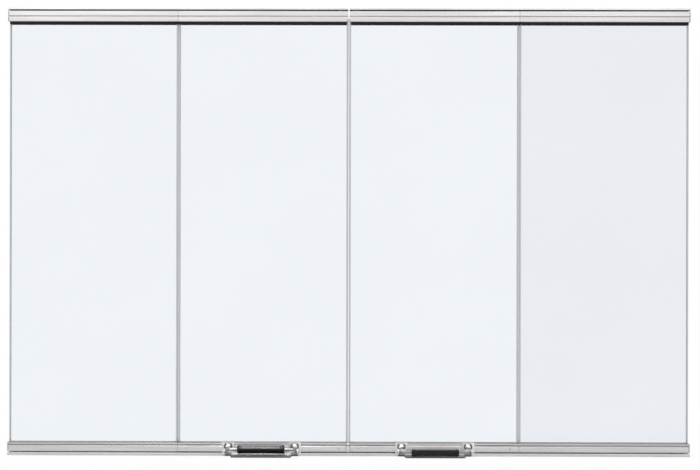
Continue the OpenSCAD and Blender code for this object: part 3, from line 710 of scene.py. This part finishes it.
def handle_plate(side):
    """The stamped plate with its shelf in painted shade, the dishes for its screws, whose sides carry painted
    shade, and the bend between plate and shelf, with a painted highlight beside the grip."""
    node = side + "_handle_plate"
    plate = rounded(node, PLATE_EDGE_MM)
    plate.data.materials.append(SHELF)
    plate.data.materials.append(DISH)
    seats = [(a + b) / 2 for a, b in solid_boxes(side + "_handle_screws")]
    for face in plate.data.polygons:
        place = face.center
        from_seat = min(((place.x - seat.x, place.z - seat.z) for seat in seats),
                        key=lambda d: math.hypot(*d))
        # Painted shade: the shelf in front of the plate, and the sides of each dish beside its screw
        if place.y < PLATE_FRONT - 0.1 * MM and place.z < SHELF_TOP + 0.1 * MM:
            face.material_index = 1
        # Painted shade on the dish's sides, left and right of its screw
        elif (within(place.y - PLATE_FRONT, DISH_Y)
                and math.hypot(*from_seat) < DISH_R and abs(from_seat[1]) < abs(from_seat[0])):
            face.material_index = 2
    middle = (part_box(node)[0].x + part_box(node)[1].x) / 2
    back, foot = PLATE_FRONT + SKIN_IN, SHELF_TOP - SKIN_IN
    section = arc((PLATE_FRONT - BEND_R, SHELF_TOP + BEND_R), BEND_R, -90, 0, 14)
    section += [(back, SHELF_TOP + BEND_R), (back, foot), (PLATE_FRONT - BEND_R, foot)]
    stations = [-BEND_X, -HIGHLIGHT_X[1], -HIGHLIGHT_X[0], HIGHLIGHT_X[0], HIGHLIGHT_X[1], BEND_X]
    bend = skin([[(middle + x, y, z) for y, z in section] for x in stations])
    for face in bend.faces:
        place = face.calc_center_median()
        face.material_index = within(abs(place.x - middle), HIGHLIGHT_X) and place.z > HIGHLIGHT_Z
    piece = to_object(node + "_bend", bend)
    piece.data.materials.append(SHELF)
    piece.data.materials.append(BEND)
    fit(piece, node)


for side in SIDES:
    handle_plate(side)
    bail(side)
    grip(side)

# ---- Screws and springs ----

# The cross recess, and the sizes of the screws that the CAD boxes don't give
RECESS = Vector((1.1, 3.0)) * MM
RECESS_DEPTH = 0.7 * MM
PAN_SHANK_D, PAN_HEAD_H = 3.0 * MM, 0.9 * MM
GRUB_EDGE, GRUB_SOCKET_D, GRUB_SOCKET_DEPTH = 0.25 * MM, 2.0 * MM, 1.4 * MM
DOME_SHANK_D, DOME_HEAD_H, DOME_FLANGE = 4.0 * MM, 2.2 * MM, 0.35 * MM
PIN_HEAD_H = 0.35 * MM
FULL_TURN = 2 * math.pi


def named_inputs(tree, result, kinds):
    """Gives a Geometry Nodes tree its named inputs and its one output; returns the inputs' sockets."""
    for label, kind in kinds.items():
        tree.interface.new_socket(label, in_out="INPUT", socket_type="NodeSocket" + kind)
    tree.interface.new_socket(result, in_out="OUTPUT", socket_type="NodeSocketGeometry")
    return add_node(tree, "NodeGroupInput").outputs


def screw_tree():
    """Geometry Nodes: a copy of one screw on every point, each turned about its own axis by chance."""
    tree = bpy.data.node_groups.new("screws_on_places", "GeometryNodeTree")
    given = named_inputs(tree, "Screws", {
        "Places": "Geometry", "Screw": "Object", "Most Turn": "Float", "Seed": "Int", "Finish": "Material"})
    one = add_node(tree, "GeometryNodeObjectInfo", {"Object": given["Screw"]})
    turn = add_node(tree, "FunctionNodeRandomValue", {"Max": given["Most Turn"], "Seed": given["Seed"]})
    turned = add_node(tree, "ShaderNodeCombineXYZ", {"Y": turn.outputs["Value"]})
    copies = add_node(tree, "GeometryNodeInstanceOnPoints", {
        "Points": given["Places"], "Instance": one.outputs["Geometry"], "Rotation": turned.outputs["Vector"]})
    real = add_node(tree, "GeometryNodeRealizeInstances", {"Geometry": copies.outputs["Instances"]})
    done = add_node(tree, "GeometryNodeSetMaterial", {
        "Geometry": real.outputs["Geometry"], "Material": given["Finish"]})
    add_node(tree, "NodeGroupOutput", {"Screws": done.outputs["Geometry"]})
    return tree


def on_places(name, node, tree, places, inputs):
    """A piece that a tree makes on a list of points, turned into one plain mesh."""
    points = bmesh.new()
    for place in places:
        points.verts.new(place)
    piece = to_object(name, points)
    maker = piece.modifiers.new("maker", "NODES")
    maker.node_group = tree
    for item in tree.interface.items_tree:
        if item.in_out == "INPUT" and item.name in inputs:
            maker[item.identifier] = inputs[item.name]
    return fit(applied(piece), node)


def along_y(solid, toward):
    """Turns a lathed shape so that its top points along Y, the way that toward says."""
    solid.transform(Matrix.Rotation(-toward * math.pi / 2, 4, "X"))
    return solid


def cut_cross(screw, top):
    """Sinks a cross recess into a screw head whose top is at y = top."""
    cutter = bmesh.new()
    for size in ((RECESS.x, RECESS.y), (RECESS.y, RECESS.x)):
        box = bmesh.ops.create_cube(cutter, size=1.0)["verts"]
        for v in box:
            v.co = Vector((v.co.x * size[0], v.co.y * 2 * RECESS_DEPTH + top, v.co.z * size[1]))
    tool = to_object("recess", cutter)
    cut = screw.modifiers.new("recess", "BOOLEAN")
    cut.operation = "DIFFERENCE"
    cut.object = tool
    cut.use_self = True
    applied(screw)
    bpy.data.objects.remove(tool)
    return screw


def pan_head(shank_d, head_d, shank_l, head_h):
    """A pan-head screw along +Y, its seat at the origin, with a cross recess."""
    r = head_d / 2
    crown = [(r * math.cos(a), head_h * (0.35 + 0.65 * math.sin(a)))
             for a in (math.radians(d) for d in (0, 20, 40, 60, 78))]
    outline = [(0, -shank_l), (shank_d / 2, -shank_l), (shank_d / 2, 0), (r, 0), *crown, (0, head_h)]
    screw = to_object("pan_head", along_y(lathe(outline, 32), 1))
    return cut_cross(screw, head_h)


def socket_grub(d, length, socket_d, depth):
    """A grub screw along +Y with its top at the origin and a hexagon socket in it."""
    r, edge = d / 2, GRUB_EDGE
    outline = [(0, -length), (r - edge, -length), (r, -length + edge), (r, -edge), (r - edge, 0), (0, 0)]
    screw = to_object("grub", along_y(lathe(outline, 32), 1))
    hexagon = [(0, -depth), (socket_d / 2, -depth), (socket_d / 2, depth), (0, depth)]
    tool = to_object("hexagon", along_y(lathe(hexagon, 6), 1))
    cut = screw.modifiers.new("socket", "BOOLEAN")
    cut.operation = "DIFFERENCE"
    cut.object = tool
    applied(screw)
    bpy.data.objects.remove(tool)
    return screw


def dome_head(shank_d, head_d, shank_l, head_h):
    """A polished dome-head screw along -Y, its seat at the origin, on a thin flange."""
    r, flange = head_d / 2, DOME_FLANGE
    crown = [((r - flange) * math.cos(a), flange + (head_h - flange) * math.sin(a))
             for a in (math.radians(d) for d in range(0, 90, 10))]
    outline = [(0, -shank_l), (shank_d / 2, -shank_l), (shank_d / 2, 0), (r - 0.1 * MM, 0), (r, flange / 2),
               (r - 0.1 * MM, flange), *crown, (0, head_h)]
    return to_object("dome_head", along_y(lathe(outline, 48), -1))


screws = screw_tree()


def set_screws(name, node, screw, boxes, y, finish, seed=SEED):
    """Puts a copy of a screw in the middle of each box, at one depth, and removes the first one."""
    places = [((a.x + b.x) / 2, y, (a.z + b.z) / 2) for a, b in boxes]
    on_places(name, node, screws, places, {
        "Screw": screw, "Most Turn": FULL_TURN, "Seed": seed, "Finish": FINISH[finish]})
    bpy.data.objects.remove(screw)


for side in SIDES:
    for panel in ("outer", "inner"):
        node = f"{side}_{panel}_hinge_screws"
        boxes = solid_boxes(node)
        low, high = boxes[0]
        seat = high.y - PAN_HEAD_H
        screw = pan_head(PAN_SHANK_D, high.x - low.x, seat - low.y, PAN_HEAD_H)
        set_screws(node + "_cross", node, screw, boxes, seat, "screw")
    for panel in ("outer", "inner"):
        node = f"{side}_{panel}_clamp_screws"
        boxes = [b for b in solid_boxes(node) if b[0].y > 0]
        pins = [b for b in solid_boxes(node) if b[1].y < 0]
        low, high = boxes[0]
        screw = socket_grub(high.x - low.x, high.y - low.y, GRUB_SOCKET_D, GRUB_SOCKET_DEPTH)
        set_screws(node + "_socket", node, screw, boxes, high.y, "grub_screw", SEED + 1)
        if pins:
            low, high = pins[0]
            seat = low.y + PIN_HEAD_H
            pin = dome_head(high.x - low.x, high.x - low.x, high.y - seat, PIN_HEAD_H)
            set_screws(node + "_front_pins", node, pin, pins, seat, "screw")
    node = side + "_handle_screws"
    boxes = solid_boxes(node)
    low, high = boxes[0]
    seat = low.y + DOME_HEAD_H
    screw = dome_head(DOME_SHANK_D, high.x - low.x, high.y - seat, DOME_HEAD_H)
    set_screws(node + "_domes", node, screw, boxes, seat, "dome_screw")


def spring_tree():
    """Geometry Nodes: a coil of round wire that starts at its point and rises; its cut ends are closed."""
    tree = bpy.data.node_groups.new("wound_spring", "GeometryNodeTree")
    given = named_inputs(tree, "Spring", {
        "Place": "Geometry", "Turns": "Float", "Radius": "Float", "Rise": "Float", "Wire Radius": "Float",
        "Finish": "Material"})
    line = add_node(tree, "GeometryNodeCurveSpiral", {
        "Resolution": 32, "Rotations": given["Turns"], "Start Radius": given["Radius"],
        "End Radius": given["Radius"], "Height": given["Rise"]})
    wire = add_node(tree, "GeometryNodeCurvePrimitiveCircle", {
        "Resolution": 10, "Radius": given["Wire Radius"]})
    coil = add_node(tree, "GeometryNodeCurveToMesh", {
        "Curve": line.outputs["Curve"], "Profile Curve": wire.outputs["Curve"], "Fill Caps": True})
    copies = add_node(tree, "GeometryNodeInstanceOnPoints", {
        "Points": given["Place"], "Instance": coil.outputs["Mesh"]})
    real = add_node(tree, "GeometryNodeRealizeInstances", {"Geometry": copies.outputs["Instances"]})
    done = add_node(tree, "GeometryNodeSetMaterial", {
        "Geometry": real.outputs["Geometry"], "Material": given["Finish"]})
    add_node(tree, "NodeGroupOutput", {"Spring": done.outputs["Geometry"]})
    return tree


springs = spring_tree()
WIRE_R = 0.25 * MM
TURNS = 4.0
for side in SIDES:
    for part in ("pivot_spring", "guide_spring"):
        node = f"{side}_{part}"
        low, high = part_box(node)
        place = ((low.x + high.x) / 2, (low.y + high.y) / 2, low.z + WIRE_R)
        on_places(node + "_coil", node, springs, [place], {
            "Turns": TURNS, "Radius": (high.x - low.x) / 2 - WIRE_R, "Rise": high.z - low.z - 2 * WIRE_R,
            "Wire Radius": WIRE_R, "Finish": FINISH["spring"]})

# ---- Studio ----

# The photo's frame: its size, and where the middle, top and foot of the doors lie in it, in pixels, with
# the size of a pixel at the doors and the camera's distance from them
DISTANCE = 1.70
PHOTO_W, PHOTO_H = 700, 470
PIXEL = 1.3382 * MM
CENTRE_COLUMN = 348.5
TOP_ROW, FOOT_ROW = 7.75, 456.15
ROLL_DEG = -0.125
YAW_DEG = 0.27
# The strength of the world as light, how white the paper looks near the doors, and the distances from
# their plane between which it turns to white
WORLD_LIGHT = 0.75
PAPER_SEEN = 0.9
PAPER_NEAR, PAPER_FAR = 0.10, 0.40

scene = bpy.context.scene
scene.view_settings.view_transform = "Standard"


def area_lamp(name, place, target, size, power):
    """A soft box that looks at a point; the camera doesn't see it."""
    data = bpy.data.lights.new(name, "AREA")
    data.shape = "RECTANGLE"
    data.size, data.size_y = size
    data.energy = power
    lamp = bpy.data.objects.new(name, data)
    scene.collection.objects.link(lamp)
    lamp.location = place
    lamp.rotation_mode = "QUATERNION"
    lamp.rotation_quaternion = (Vector(target) - Vector(place)).to_track_quat("-Z", "Y")
    lamp.visible_camera = False


def seen_rays(tree):
    """1 for the rays by which the camera sees white: its own, and those by way of metal or glass."""
    ray = add_node(tree, "ShaderNodeLightPath")
    bounced = add_node(tree, "ShaderNodeMath", {
        0: ray.outputs["Is Camera Ray"], 1: ray.outputs["Is Glossy Ray"]}, operation="MAXIMUM")
    return add_node(tree, "ShaderNodeMath", {
        0: bounced.outputs[0], 1: ray.outputs["Is Transmission Ray"]}, operation="MAXIMUM").outputs[0]


def studio_world():
    """White to the camera, and a plain soft light on the object."""
    world = bpy.data.worlds.new("white_studio")
    scene.world = world
    world.use_nodes = True
    tree = world.node_tree
    tree.nodes.clear()
    strength = add_node(tree, "ShaderNodeMapRange", {
        "Value": seen_rays(tree), "To Min": WORLD_LIGHT, "To Max": 1.0})
    light = add_node(tree, "ShaderNodeBackground", {
        "Color": linear("#FFFFFF"), "Strength": strength.outputs["Result"]})
    add_node(tree, "ShaderNodeOutputWorld", {"Surface": light.outputs["Background"]})


def studio_floor():
    """A pale matt floor that the camera sees as white, apart from the object's shadow. Metal mirrors it
    as it is near the doors and as white further away."""
    material, tree = new_finish("matt_studio_paper")
    fleck = grain(tree, (2.0, 2.0, 2.0))
    tone = add_node(tree, "ShaderNodeMix", {
        0: fleck, MIX_A: linear("#E6E6E6"), MIX_B: linear("#ECECEC")}, data_type="RGBA")
    paper = add_node(tree, "ShaderNodeBsdfDiffuse", {"Color": tone.outputs[MIX_COLOUR]})
    glow = add_node(tree, "ShaderNodeEmission", {"Color": linear("#FFFFFF"), "Strength": 1.0})
    ray = add_node(tree, "ShaderNodeLightPath")
    place = add_node(tree, "ShaderNodeSeparateXYZ", {
        "Vector": add_node(tree, "ShaderNodeTexCoord").outputs["Object"]})
    away = add_node(tree, "ShaderNodeMath", {0: place.outputs["Y"]}, operation="ABSOLUTE")
    far = add_node(tree, "ShaderNodeMapRange", {
        "Value": away.outputs[0], "From Min": PAPER_NEAR, "From Max": PAPER_FAR},
        interpolation_type="SMOOTHSTEP")
    white = add_node(tree, "ShaderNodeMapRange", {
        "Value": far.outputs["Result"], "To Min": PAPER_SEEN, "To Max": 1.0})
    direct = add_node(tree, "ShaderNodeMath", {
        0: ray.outputs["Is Camera Ray"], 1: ray.outputs["Is Transmission Ray"]}, operation="MAXIMUM")
    seen = add_node(tree, "ShaderNodeMath", {
        0: direct.outputs[0], 1: white.outputs["Result"]}, operation="MULTIPLY")
    mirrored = add_node(tree, "ShaderNodeMath", {
        0: ray.outputs["Is Glossy Ray"], 1: far.outputs["Result"]}, operation="MULTIPLY")
    share = add_node(tree, "ShaderNodeMath", {
        0: seen.outputs[0], 1: mirrored.outputs[0]}, operation="MAXIMUM")
    both = add_node(tree, "ShaderNodeMixShader", {
        0: share.outputs[0], 1: paper.outputs["BSDF"], 2: glow.outputs["Emission"]})
    show(tree, both.outputs["Shader"])
    ground = bmesh.new()
    bmesh.ops.create_grid(ground, x_segments=1, y_segments=1, size=12.0)
    floor = to_object("floor", ground)
    floor.data.materials.append(material)
    floor.location.z = -0.2 * MM
    floor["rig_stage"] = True


def photo_camera():
    """A camera square on to the doors, at the photo's scale, height and slight roll."""
    data = bpy.data.cameras.new("camera")
    data.sensor_width = 36.0
    data.lens = data.sensor_width * DISTANCE / (PHOTO_W * PIXEL)
    camera = bpy.data.objects.new("camera", data)
    scene.collection.objects.link(camera)
    low, high = cad_box
    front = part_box("left_top_track")[0].y
    x = (PHOTO_W / 2 - CENTRE_COLUMN) * PIXEL + DISTANCE * math.tan(math.radians(YAW_DEG))
    z = (low.z + high.z) / 2 + ((TOP_ROW + FOOT_ROW) / 2 - PHOTO_H / 2) * PIXEL
    camera.location = (x, front - DISTANCE, z)
    camera.rotation_euler = (math.pi / 2, math.radians(ROLL_DEG), math.radians(YAW_DEG))
    scene.camera = camera


studio_world()
studio_floor()
# The wide box lights everything from above. The two small ones hang below it, where the raised left grip
# mirrors them, and the high ones stand where the top rails mirror them.
area_lamp("overhead_soft_box", (0, 0.15, 2.1), (0, 0.15, 0), (1.8, 1.2), 12.5)
area_lamp("left_grip_front_light", (-0.26, -0.12, 2.0), (-0.26, -0.12, 0), (0.36, 0.34), 4.6)
area_lamp("left_grip_rear_light", (-0.26, 0.30, 2.0), (-0.26, 0.30, 0), (0.36, 0.36), 5.0)
area_lamp("high_left_soft_box", (-0.9, -2.4, 1.5), (-0.3, 0, 0.6), (1.0, 0.8), 4.5)
area_lamp("high_right_soft_box", (0.78, -2.4, 1.5), (0.3, 0, 0.6), (0.66, 0.8), 2.9)
photo_camera()

boxes = [[list(corner) for corner in box] for box in (cad_box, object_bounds())]
